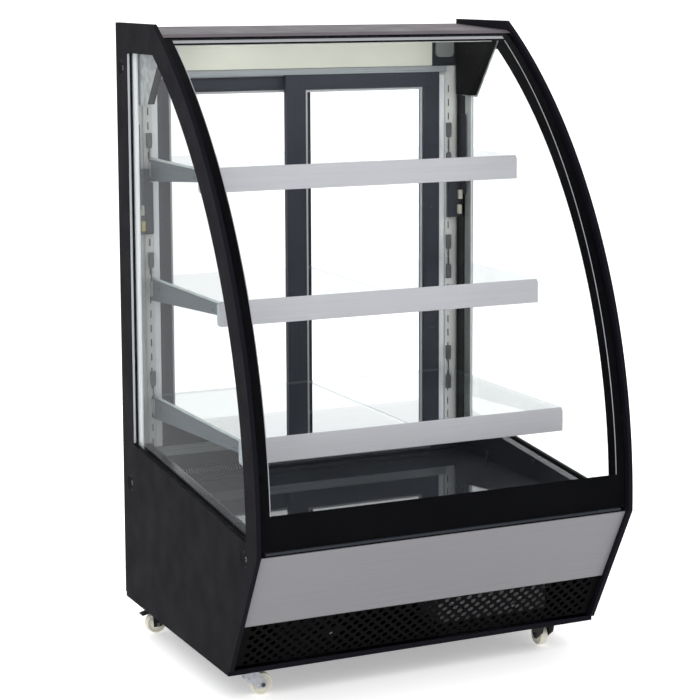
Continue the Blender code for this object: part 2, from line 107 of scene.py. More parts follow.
def as_drawn(u, v, w):
    """The outline's own axes, for a piece that is moved to its place afterwards."""
    return Vector((u, v, w))


def mirrored(sign):
    """The front view's placing for the right side, or for the left when sign is -1."""
    return lambda x, h, d: front(sign * x, h, d)


def plan(x, d, h):
    """Plan outline (x, d) at height h."""
    return at(d, h, x)


# ---- mesh tools ----
def shape(name, points, faces):
    """A mesh object with every face turned outwards."""
    bm = bmesh.new()
    corners = [bm.verts.new(tuple(p)) for p in points]
    for face in faces:
        bm.faces.new([corners[i] for i in face])
    bmesh.ops.recalc_face_normals(bm, faces=bm.faces)
    mesh = bpy.data.meshes.new(name)
    bm.to_mesh(mesh)
    bm.free()
    obj = bpy.data.objects.new(name, mesh)
    bpy.context.scene.collection.objects.link(obj)
    return obj


def prism(name, loops, place, low, high):
    """The outline loops[0], less the holes that follow, stretched from low to high."""
    flat = [point for loop in loops for point in loop]
    count = len(flat)
    cap = tessellate_polygon([[Vector((u, v, 0)) for u, v in loop] for loop in loops])
    points = [place(u, v, low) for u, v in flat] + [place(u, v, high) for u, v in flat]
    if len(loops) == 1:
        faces = [tuple(range(count)), tuple(range(count, 2 * count))]
    else:
        faces = list(cap) + [(a + count, b + count, c + count) for a, b, c in cap]
    start = 0
    for loop in loops:
        size = len(loop)
        for i in range(size):
            a = start + i
            b = start + (i + 1) % size
            faces.append((a, b, b + count, a + count))
        start += size
    return shape(name, points, faces)


def rect(u0, u1, v0, v1):
    return [(u0, v0), (u1, v0), (u1, v1), (u0, v1)]


def ring(u, v, radius, steps=24):
    turns = [math.tau * k / steps for k in range(steps)]
    return [(u + radius * math.cos(t), v + radius * math.sin(t)) for t in turns]


def arc(u, v, radius, start, end, steps):
    """Points round a centre, from one angle to another in degrees."""
    turns = [math.radians(start + (end - start) * k / steps) for k in range(steps + 1)]
    return [(u + radius * math.cos(t), v + radius * math.sin(t)) for t in turns]


def soft_rect(u0, u1, v0, v1, radius):
    """A rectangle with round corners."""
    outline = []
    centres = ((u1, v1, 0), (u0, v1, 90), (u0, v0, 180), (u1, v0, 270))
    for u, v, start in centres:
        cu = u - radius if u == u1 else u + radius
        cv = v - radius if v == v1 else v + radius
        outline += arc(cu, cv, radius, start, start + 90, 6)
    return outline


def block(name, x, d, h):
    """A box between the two values of each of x, d and h."""
    return prism(name, [rect(*d, *h)], at, *x)


def revolve(name, profile, centre, turn, steps=32):
    """The closed profile of (radius, height) pairs turned about local Z, which turn carries round."""
    points = []
    rows = []
    for radius, height in profile:
        if radius == 0:
            rows.append([len(points)] * steps)
            points.append(Vector((0, 0, height)))
            continue
        rows.append(list(range(len(points), len(points) + steps)))
        for i in range(steps):
            angle = math.tau * i / steps
            points.append(Vector((radius * math.cos(angle), radius * math.sin(angle), height)))
    closed = profile[0][0] != 0
    faces = []
    for k in range(len(rows) if closed else len(rows) - 1):
        low = rows[k]
        top = rows[(k + 1) % len(rows)]
        for i in range(steps):
            j = (i + 1) % steps
            faces.append(tuple(dict.fromkeys((low[i], low[j], top[j], top[i]))))
    return shape(name, [turn @ p + Vector(centre) for p in points], faces)


def tube(name, path, radius, sides=12, smooth_steps=8):
    """A round tube along a smooth curve through the path's points."""
    points = [Vector(p) for p in path]
    line = []
    for i in range(len(points) - 1):
        before = points[max(i - 1, 0)]
        after = points[min(i + 2, len(points) - 1)]
        for k in range(smooth_steps):
            t = k / smooth_steps
            a = points[i] * 2
            b = (points[i + 1] - before) * t
            c = (before * 2 - points[i] * 5 + points[i + 1] * 4 - after) * t**2
            e = (points[i] * 3 - before - points[i + 1] * 3 + after) * t**3
            line.append((a + b + c + e) * 0.5)
    line.append(points[-1])
    rows = []
    side = (line[1] - line[0]).orthogonal().normalized()
    for i, centre in enumerate(line):
        ahead = line[min(i + 1, len(line) - 1)] - line[max(i - 1, 0)]
        ahead.normalize()
        side = (side - ahead * side.dot(ahead)).normalized()
        over = ahead.cross(side)
        turns = [math.tau * k / sides for k in range(sides)]
        rows.append([centre + side * (radius * math.cos(t)) + over * (radius * math.sin(t)) for t in turns])
    flat = [p for row in rows for p in row]
    faces = [tuple(range(sides)), tuple(range(len(flat) - sides, len(flat)))]
    for i in range(len(rows) - 1):
        for k in range(sides):
            a = i * sides + k
            b = i * sides + (k + 1) % sides
            faces.append((a, b, b + sides, a + sides))
    return shape(name, flat, faces)


def apply_modifiers(obj):
    graph = bpy.context.evaluated_depsgraph_get()
    mesh = bpy.data.meshes.new_from_object(obj.evaluated_get(graph))
    obj.modifiers.clear()
    obj.data = mesh
    return obj


def cut(obj, others):
    """The object with the others cut from it."""
    for other in others:
        modifier = obj.modifiers.new("cut", "BOOLEAN")
        modifier.operation = "DIFFERENCE"
        modifier.solver = "EXACT"
        modifier.object = other
    bpy.context.view_layer.update()
    apply_modifiers(obj)
    for other in others:
        bpy.data.objects.remove(other, do_unlink=True)
    return obj


def soften(obj, width=0.0008, segments=2, angle=32):
    """Rounds the sharp edges and shades the rest smooth, with the flat faces kept flat."""
    bm = bmesh.new()
    bm.from_mesh(obj.data)
    bmesh.ops.remove_doubles(bm, verts=bm.verts, dist=1e-6)
    bmesh.ops.dissolve_limit(bm, angle_limit=math.radians(0.4), verts=bm.verts, edges=bm.edges)
    bm.to_mesh(obj.data)
    bm.free()
    if width:
        modifier = obj.modifiers.new("edges", "BEVEL")
        modifier.width = width
        modifier.segments = segments
        modifier.limit_method = "ANGLE"
        modifier.angle_limit = math.radians(angle)
        bpy.context.view_layer.update()
        apply_modifiers(obj)
    obj.data.shade_smooth()
    obj.data.set_sharp_from_angle(angle=math.radians(angle + 3))
    modifier = obj.modifiers.new("normals", "WEIGHTED_NORMAL")
    modifier.keep_sharp = True
    bpy.context.view_layer.update()
    return apply_modifiers(obj)


def join(name, parts):
    """Several meshes kept as separate shells in one object."""
    bm = bmesh.new()
    for part in parts:
        part.data.transform(part.matrix_world)
        bm.from_mesh(part.data)
        bpy.data.objects.remove(part, do_unlink=True)
    mesh = bpy.data.meshes.new(name)
    bm.to_mesh(mesh)
    bm.free()
    obj = bpy.data.objects.new(name, mesh)
    bpy.context.scene.collection.objects.link(obj)
    return obj


def arc_run(radius, h_from, h_to, steps=ARC_STEPS):
    """Points down the front curve between two heights."""
    start = math.asin((h_from - ARC_H) / radius)
    end = math.asin((h_to - ARC_H) / radius)
    turns = [start + (end - start) * i / steps for i in range(steps + 1)]
    return [(ARC_D + radius * math.cos(t), ARC_H + radius * math.sin(t)) for t in turns]


SLOPE_LEN = math.dist(KNEE, TOE)
SLOPE = ((TOE[0] - KNEE[0]) / SLOPE_LEN, (TOE[1] - KNEE[1]) / SLOPE_LEN)
INWARD = (SLOPE[1], -SLOPE[0])


def on_slope(along, inset):
    """A point of the lower front, measured down from the knee and in from the slope."""
    d = KNEE[0] + SLOPE[0] * along + INWARD[0] * inset
    return (d, KNEE[1] + SLOPE[1] * along + INWARD[1] * inset)


def slope_place(x, along, inset):
    d, h = on_slope(along, inset)
    return at(d, h, x)


def sill_line(d):
    """Height of the side window's sloping lower edge."""
    return 0.385 - 0.099 * (d - 0.079)


def copy_of(node, name):
    """A new mesh object with the CAD node's shape."""
    obj = bpy.data.objects.new(name, NODES[node].data.copy())
    obj.data.materials.clear()
    bpy.context.scene.collection.objects.link(obj)
    return obj


def place(obj, body, material, slot, *nodes):
    """Gives a finished piece its material and its body, and hides the CAD nodes that it stands for."""
    obj.data.materials.clear()
    obj.data.materials.append(material)
    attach(obj, body)
    if nodes:
        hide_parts(*nodes)
    return obj


def fix(obj, material, slot, *nodes):
    """Places a piece that belongs to the cabinet."""
    return place(obj, "cabinet", material, slot, *nodes)


def dress(node, name, edge, segments, material, slot):
    """The CAD node's own shape with its edges rounded, on the node's own body."""
    return place(soften(copy_of(node, name), edge, segments), BODY[node], material, slot, node)


# ---- materials ----
class Paint:
    """Builds a Principled material with its texture nodes in object space."""

    def __init__(self, name, colour, roughness, metallic=0.0, specular=0.5):
        self.material = bpy.data.materials.new(name)
        self.material.use_nodes = True
        self.tree = self.material.node_tree
        self.shader = self.tree.nodes["Principled BSDF"]
        self.set("Base Color", (*colour, 1.0))
        self.set("Roughness", roughness)
        self.set("Metallic", metallic)
        self.set("Specular IOR Level", specular)
        self.colour = colour
        self.coords = self.node("ShaderNodeTexCoord").outputs["Object"]

    def node(self, kind, **settings):
        made = self.tree.nodes.new(kind)
        for key, value in settings.items():
            setattr(made, key, value)
        return made

    def set(self, socket, value):
        self.shader.inputs[socket].default_value = value
        return self

    def link(self, source, target):
        self.tree.links.new(source, target)

    def noise(self, scale, stretch=(1, 1, 1), detail=3.0, rough=0.5):
        """A noise pattern, drawn out along the axes whose stretch is small."""
        mapping = self.node("ShaderNodeMapping")
        mapping.inputs["Scale"].default_value = stretch
        self.link(self.coords, mapping.inputs["Vector"])
        noise = self.node("ShaderNodeTexNoise")
        noise.inputs["Scale"].default_value = scale
        noise.inputs["Detail"].default_value = detail
        noise.inputs["Roughness"].default_value = rough
        self.link(mapping.outputs["Vector"], noise.inputs["Vector"])
        return noise.outputs["Fac"]

    def ramp(self, pattern, start, end, low, high):
        """Carries the pattern's levels from start to end onto low to high."""
        ramp = self.node("ShaderNodeMapRange")
        for socket, value in (("From Min", start), ("From Max", end), ("To Min", low), ("To Max", high)):
            ramp.inputs[socket].default_value = value
        self.link(pattern, ramp.inputs["Value"])
        return ramp.outputs["Result"]

    def tint(self, pattern, spread, low=0.3, high=0.7):
        """Varies the colour by the given share either side, between two levels of the pattern."""
        mix = self.node("ShaderNodeMix", data_type="RGBA")
        dark = tuple(max(c * (1 - spread), 0) for c in self.colour)
        light = tuple(min(c * (1 + spread), 1) for c in self.colour)
        mix.inputs["A"].default_value = (*dark, 1)
        mix.inputs["B"].default_value = (*light, 1)
        self.link(self.ramp(pattern, low, high, 0.0, 1.0), mix.inputs["Factor"])
        self.link(mix.outputs["Result"], self.shader.inputs["Base Color"])
        return self

    def wear(self, pattern, low, high):
        """Lets the roughness run between two values."""
        self.link(self.ramp(pattern, 0.3, 0.7, low, high), self.shader.inputs["Roughness"])
        return self

    def bump(self, pattern, depth, strength=1.0):
        bump = self.node("ShaderNodeBump")
        bump.inputs["Distance"].default_value = depth
        bump.inputs["Strength"].default_value = strength
        self.link(pattern, bump.inputs["Height"])
        self.link(bump.outputs["Normal"], self.shader.inputs["Normal"])
        return self


def powder(name, colour, roughness=0.42, specular=0.3, grain=900, depth=0.00006):
    """Powder-coated sheet: fine orange peel, with slight cloudiness."""
    paint = Paint(name, colour, roughness, specular=specular)
    paint.tint(paint.noise(3.0, detail=4), 0.12)
    paint.wear(paint.noise(14.0), roughness - 0.05, roughness + 0.06)
    return paint.bump(paint.noise(grain, detail=2), depth, 0.5).material


def drawn_metal(name, colour, roughness, stretch, metallic=1.0, spread=0.08, depth=0.00003):
    """Brushed or drawn metal, its grain running along the axis with the small stretch."""
    paint = Paint(name, colour, roughness, metallic)
    grain = paint.noise(1.0, stretch, detail=6, rough=0.65)
    paint.tint(grain, spread)
    paint.wear(paint.noise(0.7, stretch, detail=5), roughness - 0.06, roughness + 0.08)
    return paint.bump(grain, depth, 0.4).material


def moulded(name, colour, roughness, specular=0.4, grain=1400):
    """Moulded plastic with a fine spark texture."""
    paint = Paint(name, colour, roughness, specular=specular)
    paint.tint(paint.noise(9.0), 0.06)
    paint.wear(paint.noise(40.0), roughness - 0.04, roughness + 0.05)
    return paint.bump(paint.noise(grain, detail=1), 0.00004, 0.5).material


def glazing(name, tint, ior, faces=1.0):
    """Clear sheet glass: what is behind it, tinted, under a Fresnel reflection of one or more faces."""
    paint = Paint(name, tint, 0.0)
    tree = paint.tree
    tree.nodes.remove(paint.shader)
    clear = paint.node("ShaderNodeBsdfTransparent")
    clear.inputs["Color"].default_value = (*tint, 1)
    mirror = paint.node("ShaderNodeBsdfGlossy")
    mirror.inputs["Color"].default_value = (0.97, 0.98, 1.0, 1)
    mirror.inputs["Roughness"].default_value = 0.0
    fresnel = paint.node("ShaderNodeFresnel")
    fresnel.inputs["IOR"].default_value = ior
    facing = paint.node("ShaderNodeNewGeometry")
    outside = paint.node("ShaderNodeMath", operation="SUBTRACT")
    outside.inputs[0].default_value = 1.0
    paint.link(facing.outputs["Backfacing"], outside.inputs[1])
    both = paint.node("ShaderNodeMath", operation="MULTIPLY")
    paint.link(outside.outputs["Value"], both.inputs[0])
    both.inputs[1].default_value = faces
    share = paint.node("ShaderNodeMath", operation="MULTIPLY", use_clamp=True)
    paint.link(fresnel.outputs["Fac"], share.inputs[0])
    paint.link(both.outputs["Value"], share.inputs[1])
    mix = paint.node("ShaderNodeMixShader")
    paint.link(share.outputs["Value"], mix.inputs["Fac"])
    paint.link(clear.outputs["BSDF"], mix.inputs[1])
    paint.link(mirror.outputs["BSDF"], mix.inputs[2])
    paint.link(mix.outputs["Shader"], tree.nodes["Material Output"].inputs["Surface"])
    return paint.material


POWDER = powder("black powder coat", (0.0072, 0.0068, 0.0108), 0.44, 0.07)
FRIT = Paint("black glass print", (0.0028, 0.0028, 0.0038), 0.55, specular=0.04)
FRIT = FRIT.tint(FRIT.noise(14.0), 0.12).wear(FRIT.noise(9.0), 0.52, 0.62).material
GLASS = glazing("clear glass", (0.992, 0.997, 0.995), 1.50, 0.85)
FRONT_GLASS = glazing("front glass", (0.994, 0.998, 0.996), 1.50, 0.45)
SHELF_GLASS = glazing("shelf glass", (0.985, 0.995, 0.992), 1.65, 2.3)
GLASS_EDGE = Paint("glass edge", (0.50, 0.57, 0.57), 0.12, specular=0.6)
GLASS_EDGE = GLASS_EDGE.tint(GLASS_EDGE.noise(30.0, (1, 1, 6)), 0.18).material
STEEL = drawn_metal("brushed stainless", (0.29, 0.286, 0.303), 0.36, (4, 900, 900), 0.35, 0.06, 0.00002)
CAP = powder("cap enamel", (0.108, 0.094, 0.108), 0.46, 0.12, 800)
SILVER = drawn_metal("silver trim", (0.50, 0.51, 0.54), 0.34, (6, 60, 60), 0.35, 0.03, 0.00001)
BEAD = drawn_metal("glazing bead", (0.60, 0.61, 0.64), 0.34, (60, 60, 60), 0.30, 0.04, 0.00001)
SPACER = drawn_metal("pane spacer", (0.80, 0.82, 0.84), 0.38, (300, 300, 3), 0.05, 0.05, 0.00001)
ALUMINIUM = drawn_metal("anodised aluminium", (0.66, 0.68, 0.72), 0.32, (700, 700, 3), 0.45)
TRACK = drawn_metal("track aluminium", (0.50, 0.54, 0.56), 0.30, (3, 700, 700), 0.45)
CREAM = powder("cream enamel", (0.62, 0.63, 0.55), 0.42, 0.4, 700)
POST_WHITE = powder("post enamel", (0.70, 0.71, 0.69), 0.34, 0.4, 700)
JAMB = drawn_metal("jamb enamel", (0.86, 0.88, 0.92), 0.34, (600, 600, 3), 0.05, 0.05)
SLATE = drawn_metal("slate door frame", (0.050, 0.054, 0.070), 0.36, (500, 500, 3), 0.15, 0.12)
DECK = Paint("deck mirror", (0.085, 0.090, 0.106), 0.03, 0.55, 0.3)
DECK = DECK.tint(DECK.noise(5.0), 0.08).wear(DECK.noise(18.0), 0.02, 0.05).material
LINER = Paint("dark liner", (0.040, 0.044, 0.055), 0.20, 0.35, 0.5)
LINER = LINER.tint(LINER.noise(4.0), 0.10).wear(LINER.noise(12.0), 0.18, 0.28).material
PLASTIC = moulded("black plastic", (0.013, 0.013, 0.015), 0.42, 0.3)
GREY_PLASTIC = moulded("grey plastic", (0.12, 0.12, 0.125), 0.38)
END_PLASTIC = moulded("header end plastic", (0.20, 0.215, 0.205), 0.40)
MATT_BLACK = powder("matt black coat", (0.0032, 0.0032, 0.0038), 0.50, 0.06)
RAIL = drawn_metal("shelf rail enamel", (0.57, 0.565, 0.605), 0.36, (2, 260, 420), 0.25, 0.06)
RAIL_END = drawn_metal("rail end enamel", (0.52, 0.56, 0.62), 0.38, (90, 260, 90), 0.15, 0.05)
ARM = drawn_metal("arm enamel", (0.20, 0.235, 0.265), 0.38, (90, 5, 160), 0.55, 0.07)
ZINC = Paint("zinc plate", (0.58, 0.60, 0.64), 0.34, 0.30)
ZINC = ZINC.tint(ZINC.noise(120.0, detail=5), 0.16).wear(ZINC.noise(90.0), 0.22, 0.42)
ZINC = ZINC.bump(ZINC.noise(500.0), 0.00005, 0.4).material
SCREW = Paint("screw steel", (0.62, 0.62, 0.64), 0.24, 1.0)
SCREW = SCREW.tint(SCREW.noise(800.0), 0.12).material
NYLON = moulded("cream nylon", (0.72, 0.70, 0.60), 0.42, 0.45, 700)
RUBBER = moulded("black rubber", (0.012, 0.012, 0.012), 0.75, 0.25, 1800)
GALVANISED = Paint("galvanised sheet", (0.56, 0.58, 0.60), 0.38, 0.40)
GALVANISED = GALVANISED.tint(GALVANISED.noise(55.0, detail=1), 0.18, 0.4, 0.6)
GALVANISED = GALVANISED.wear(GALVANISED.noise(70.0), 0.30, 0.48).material
FINS = drawn_metal("coil fins", (0.88, 0.89, 0.90), 0.34, (40, 600, 600), 0.05)
COPPER = Paint("copper pipe", (0.72, 0.34, 0.20), 0.28, 1.0)
COPPER = COPPER.tint(COPPER.noise(70.0), 0.15).wear(COPPER.noise(60.0), 0.2, 0.4).material
PUMP = powder("compressor enamel", (0.018, 0.018, 0.019), 0.36, 0.5)
YELLOW = moulded("yellow connector", (0.62, 0.52, 0.16), 0.45)
BEIGE = moulded("beige connector", (0.55, 0.52, 0.44), 0.45)
DIFFUSER = Paint("lamp diffuser", (0.80, 0.81, 0.80), 0.45, specular=0.4)
DIFFUSER = DIFFUSER.tint(DIFFUSER.noise(25.0), 0.04).bump(DIFFUSER.noise(900.0), 0.00003).material

# ---- small hardware ----
UPRIGHT = Matrix.Identity(3)
FORWARD = Matrix.Rotation(math.radians(90), 3, "X")
BACKWARD = Matrix.Rotation(math.radians(-90), 3, "X")


def sideways(sign):
    return Matrix.Rotation(math.radians(90 * sign), 3, "Y")


def screw(name, centre, turn, radius, height, spin=20, body="cabinet", material=SCREW, slot="zinc"):
    """A pan-head screw with a cross recess; turn carries local Z out of the surface."""
    dome = [(0, -0.0006), (radius, -0.0006), (radius, height * 0.35)]
    for k in range(1, 5):
        angle = math.radians(90 * k / 5)
        dome.append((radius * math.cos(angle), height * (0.35 + 0.65 * math.sin(angle))))
    dome.append((0, height))
    head = revolve(name, dome, (0, 0, 0), UPRIGHT, 20)
    arms = []
    long, short = radius * 0.62, radius * 0.16
    for u, v in ((long, short), (short, long)):
        outline = rect(-u, u, -v, v)
        arms.append(prism("slot", [outline], as_drawn, height * 0.3, height * 2))
    cut(head, arms)
    twist = Matrix.Rotation(math.radians(spin), 3, "Z")
    head.data.transform(Matrix.Translation(centre) @ (turn @ twist).to_4x4())
    head.data.shade_smooth()
    head.data.set_sharp_from_angle(angle=math.radians(30))
    return place(head, body, material, slot)


# ---- side panels ----
def window_outline():
    """The side window, with its corners rounded a little."""
    run = arc_run(ARC_R - BAND, WINDOW_TOP, 0.3185)
    corner = run[-1]
    low = [(corner[0] - 0.004, sill_line(corner[0] - 0.004) + 0.0003)]
    back = WINDOW_BACK
    r = 0.005
    rise = [
        (back + r * 1.2, sill_line(back + r)), (back + r * 0.3, sill_line(back) + r * 0.3),
        (back, sill_line(back) + r * 1.2),
    ]
    top = [(back, WINDOW_TOP - r), (back + r * 0.3, WINDOW_TOP - r * 0.3), (back + r, WINDOW_TOP)]
    return rise + top + run + low


def side_panels():
    toe_d = TOE[0] + 0.012 * (KNEE[0] - TOE[0]) / KNEE[1]
    outline = [(0.0, 0.012), (0.0, PANEL_TOP)] + arc_run(ARC_R, PANEL_TOP, KNEE[1])
    outline.append((toe_d, 0.012))
    window = window_outline()
    cups = [ring(d, h, CUP_R, 40) for d, h in CUPS]
    dish = [
        (0, -0.0062), (0.0105, -0.0062), (0.0120, -0.0056), (0.0165, -0.0016), (0.0182, -0.0005),
        (0.0188, -0.0008), (0.0188, -0.0090), (0, -0.0090),
    ]
    for side, sign in SIDES:
        panel = prism(f"side_shell_{side}", [outline, window] + cups, at, sign * (HALF - SKIN), sign * HALF)
        fix(soften(panel, 0.0012, 3), POWDER, "black_panel", f"side_panel_{side}")
        for k, (d, h) in enumerate(CUPS):
            cup = revolve(f"fixing_cup_{side}_{k + 1}", dish, at(d, h, sign * HALF), sideways(sign), 40)
            fix(soften(cup, 0), PLASTIC, "black_plastic")
            seat = at(d, h, sign * (HALF - 0.0060))
            screw(f"fixing_screw_{side}_{k + 1}", seat, sideways(sign), 0.0062, 0.0030, 25 + 40 * k)
        bead = inset_ring(window, 0.0008)
        seal = prism(f"window_bead_{side}", [window, bead], at, sign * 0.4402, sign * 0.4432)
        fix(soften(seal, 0), RUBBER, "black_plastic")
        width = (sign * 0.4436, sign * (HALF - 0.0012))
        reveal = block(f"reveal_trim_{side}", width, (0.0751, 0.0762), (0.3885, 1.2995))
        fix(soften(reveal, 0.0003, 1), ALUMINIUM, "aluminium")


def inset_ring(outline, amount):
    """The outline moved inwards, each point along the middle of its two sides' normals."""
    area = sum(a[0] * b[1] - b[0] * a[1] for a, b in zip(outline, outline[1:] + outline[:1]))
    sense = 1 if area > 0 else -1
    moved = []
    count = len(outline)
    for i in range(count):
        before = Vector(outline[i - 1])
        here = Vector(outline[i])
        after = Vector(outline[(i + 1) % count])
        first = (here - before).normalized()
        second = (after - here).normalized()
        normal = Vector((-first.y - second.y, first.x + second.x)) * sense
        normal.normalize()
        along = Vector((-first.y, first.x)) * sense
        step = amount / max(normal.dot(along), 0.35)
        moved.append((here.x + normal.x * step, here.y + normal.y * step))
    return moved


# ---- double-glazed side windows ----
def side_windows():
    front_edge = arc_run(1.232, 1.3185, 0.290)
    pane_low = sill_line(0.045) - 0.034
    outline = [(0.045, pane_low), (0.045, 1.3185)] + front_edge
    spacer_run = arc_run(ARC_R - BAND + 0.016, WINDOW_TOP + 0.012, 0.300)
    spacer = [(0.056, pane_low + 0.010), (0.056, WINDOW_TOP + 0.012)] + spacer_run
    for side, sign in SIDES:
        near = sign * (LINED + GAP)
        panes = [
            prism("pane", [outline], at, near, near + sign * 0.004),
            prism("pane", [outline], at, sign * (INNER - 0.004), sign * INNER),
        ]
        glass = join(f"side_pane_{side}", panes)
        fix(glass, GLASS, "clear_glass", f"side_glass_{side}")
        inside = inset_ring(spacer, 0.010)
        depth = (near + sign * 0.0043, sign * (INNER - 0.0043))
        bar = prism(f"pane_spacer_{side}", [spacer, inside], at, *depth)
        fix(soften(bar, 0.0006), MATT_BLACK, "black_plastic")
        layer = (sign * LINED, sign * 0.4264)
        border = curved_strip(f"side_print_{side}", layer, (1.3180, 0.3000), 0.030, 0.034)
        fix(border, FRIT, "black_plastic")
        strip = block(f"pane_strip_{side}", depth, (0.0665, 0.0980), (0.345, 1.3015))
        fix(soften(strip, 0.0012), SPACER, "aluminium")


# ---- curved front pane with its printed border and silver line ----
def curved_strip(name, x, h, inset, thick, steps=ARC_STEPS):
    """A strip that follows the front curve, inset from the panels' edge."""
    outer = arc_run(ARC_R - inset, h[0], h[1], steps)
    inner = arc_run(ARC_R - inset - thick, h[0], h[1], steps)
    return prism(name, [outer + inner[::-1]], at, *x)


def front_pane():
    pane = curved_strip("curved_pane", (-INNER, INNER), (1.3386, 0.304), 0.010, 0.006, 128)
    fix(soften(pane, 0.0008, 2, 50), FRONT_GLASS, "clear_glass", "front_glass")
    behind_pane = 0.01605
    left, right = -0.4130, 0.4180
    top, low = 1.3384, 0.3045
    clear_top, clear_low = 1.3225, 0.3790
    across = (left + 0.0001, right - 0.0001)
    border = [
        curved_strip("left", (-INNER, left), (top, low), behind_pane, 0.0004),
        curved_strip("right", (right, INNER), (top, low), behind_pane, 0.0004),
        curved_strip("top", across, (top, clear_top), behind_pane, 0.0004, 8),
        curved_strip("low", across, (clear_low, low), behind_pane, 0.0004, 24),
    ]
    fix(join("glass_print", border), FRIT, "black_plastic")
    upright = (clear_top, clear_low + 0.0001)
    line = [
        curved_strip("left", (left + 0.0002, left + 0.0020), upright, behind_pane, 0.0006),
        curved_strip("right", (right - 0.0018, right - 0.0002), upright, behind_pane, 0.0006),
        curved_strip("top", (left + 0.0002, right - 0.0002), (1.3326, 1.3265), 0.0155, 0.0004, 4),
    ]
    fix(join("silver_line", line), SILVER, "brushed_steel")


# ---- roof ----
def roof():
    cap = [
        (0.0, 1.3245), (0.0, 1.3566), (0.262, 1.3460), (0.281, 1.3400), (0.281, 1.3390),
        (0.2625, 1.3390), (0.2625, 1.3245),
    ]
    sheet = prism("roof_cap", [cap], at, -INNER, INNER)
    fix(soften(sheet, 0.0012, 3, 15), CAP, "cap_metal", "top_cap")
    for k, x in enumerate((-0.40, -0.135, 0.135, 0.40)):
        screw(f"cap_screw_{k + 1}", at(0.0020, 1.341, x), BACKWARD, 0.0034, 0.0016)
    lower = [
        (0.0, HEADER_LOW), (0.0, 1.3242), (0.2625, 1.3242), (0.2625, CEILING), (0.0540, CEILING),
        (0.0540, HEADER_LOW),
    ]
    liner = prism("header_core", [lower], at, -LINED, LINED)
    fix(soften(liner, 0.0008), LINER, "cream_liner", "canopy_liner")
    reach = 0.345
    sheet_outline = soft_rect(-reach, reach, HEADER_LOW + 0.0006, CEILING - 0.0006, 0.003)
    face = prism("header_face", [sheet_outline], front, 0.0542, 0.0595)
    bevel_ends(face, reach, 0.012)
    fix(soften(face, 0.0006), CREAM, "cream_liner")
    for side, sign in SIDES:
        outline = soft_rect(0.352, 0.402, 1.2760, 1.3175, 0.012)
        box = prism(f"header_end_{side}", [outline], mirrored(sign), 0.0542, 0.0660)
        fix(soften(box, 0.0040, 4), END_PLASTIC, "black_plastic")
    lamp = [(0.2660, 1.3222), (0.2660, 1.3330), (0.2735, 1.3330), (0.2860, 1.3245), (0.2875, 1.3222)]
    body = prism("lamp_body", [lamp], at, -0.424, 0.424)
    fix(soften(body, 0.0006), PLASTIC, "black_plastic", "ceiling_lamp")
    diffuser = block("lamp_diffuser", (-0.400, 0.400), (0.205, 0.2600), (1.3192, 1.3213))
    fix(soften(diffuser, 0.0008, 2), DIFFUSER, "cream_liner")


def bevel_ends(obj, reach, radius):
    """Rolls the ends of the header sheet back, as a folded cover's ends are."""
    low = min(v.co.y for v in obj.data.vertices)
    for v in obj.data.vertices:
        over = abs(v.co.x) - (reach - radius)
        if over > 0 and abs(v.co.y - low) < 1e-5:
            v.co.y += radius * 0.35 * (over / radius) ** 2


def gussets():
    outline = [(0.0625, 1.3212), (0.243, 1.3212), (0.137, 1.184), (0.0650, 1.184)]
    backing = [(0.0610, 1.3213), (0.2480, 1.3213), (0.1400, 1.1800), (0.0610, 1.1800)]
    for side, sign in SIDES:
        web = prism(f"gusset_plate_{side}", [outline], at, sign * 0.406, sign * 0.4250)
        fix(soften(web, 0.0014, 3), MATT_BLACK, "black_plastic", f"gusset_{side}")
        sheet = prism(f"gusset_backing_{side}", [backing], at, sign * 0.4252, sign * 0.4261)
        fix(soften(sheet, 0.0003, 1), GALVANISED, "aluminium")
        for k, (d, h) in enumerate(((0.085, 1.205), (0.125, 1.292))):
            seat = at(d, h, sign * 0.4062)
            name = f"gusset_screw_{side}_{k + 1}"
            screw(name, seat, sideways(-sign), 0.0038, 0.0018, 15, "cabinet", PLASTIC, "black_plastic")


# ---- back: posts, jambs, shelf standards, tracks ----
def posts():
    for side, sign in SIDES:
        face = LINED - 0.0008
        radius = 0.018
        corner = arc(face - radius, POST_D - radius, radius, 0, 90, 12)
        outline = [(POST_X, 0.0), (face, 0.0)] + corner + [(POST_X, POST_D)]
        where = lambda x, d, h, s=sign: plan(s * x, d, h)
        column = prism(f"corner_post_{side}", [outline], where, 0.345, 1.2542)
        fix(soften(column, 0.0006), POST_WHITE, "aluminium")
        cheek = prism(f"post_cheek_{side}", [rect(face + 0.0002, LINED, 0.002, 0.031)], where, 0.347, 1.252)
        fix(soften(cheek, 0), GALVANISED, "aluminium")
        lip = prism(f"door_jamb_{side}", [rect(0.367, 0.3838, 0.0345, 0.0465)], where, 0.3665, 1.2315)
        fix(soften(lip, 0.0022, 3), JAMB, "aluminium", f"rear_post_{side}")
        slots = []
        for k in range(25):
            h = 0.372 + 0.034 * k
            slots.append(rect(0.3910, 0.3943, h, h + 0.0175))
        plate = [rect(0.3845, 0.4045, 0.348, 1.235)]
        strip = prism(f"slotted_standard_{side}", plate + slots, mirrored(sign), POST_D + GAP, STANDARD_D)
        fix(soften(strip, 0.0004, 1), POST_WHITE, "aluminium", f"shelf_standard_{side}")
        behind = [rect(0.3900, 0.3955, 0.366, 1.220)]
        back = prism(f"slot_shadow_{side}", behind, mirrored(sign), POST_D + 0.00005, POST_D + 0.00025)
        fix(back, PLASTIC, "black_plastic")


def tracks():
    for node in ("door_track_bottom", "door_track_top"):
        dress(node, node.replace("door_track", "track_rail"), 0.0004, 1, TRACK, "aluminium")


